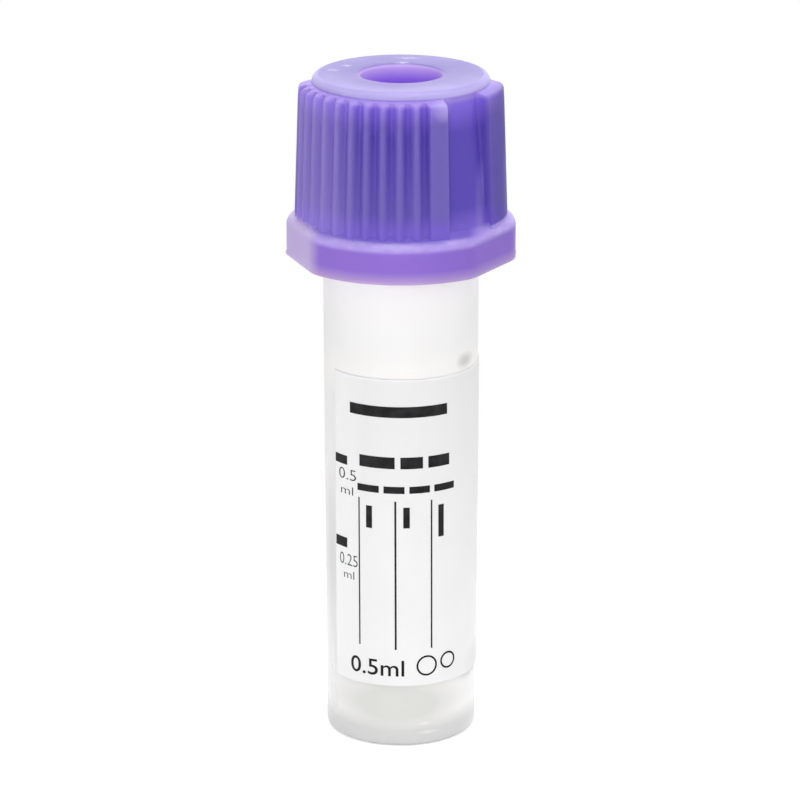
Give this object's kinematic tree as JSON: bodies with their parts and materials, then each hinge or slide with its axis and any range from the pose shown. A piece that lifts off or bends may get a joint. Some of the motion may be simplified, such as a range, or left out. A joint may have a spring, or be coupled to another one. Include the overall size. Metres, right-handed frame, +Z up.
{
  "type": "capillary blood collection tube",
  "caption": "Small capillary blood collection tube on a hollow skirt, with a ribbed pull-off cap and a wrap-round film label.",
  "frame": {"origin": "on the tube's axis, at the plane that the skirt stands on", "axes": "+Z up along the tube, towards the cap; -Y towards the front, which carries the label's print; the scale is beside the label's left edge"},
  "size_m": [0.0142, 0.014, 0.0421],
  "materials": {
    "tube": "satin, milky translucent polypropylene",
    "cap": "satin violet polyethylene, slightly translucent",
    "label": "satin film with black print"
  },
  "bodies": {
    "tube": {"tube": "tube", "label": "label"},
    "cap": {"cap": "cap"}
  },
  "joints": [
    {"name": "cap_pull", "type": "slide", "parent": "tube", "child": "cap", "axis": [0, 0, 1], "range_m": [0, 0.012]}
  ]
}
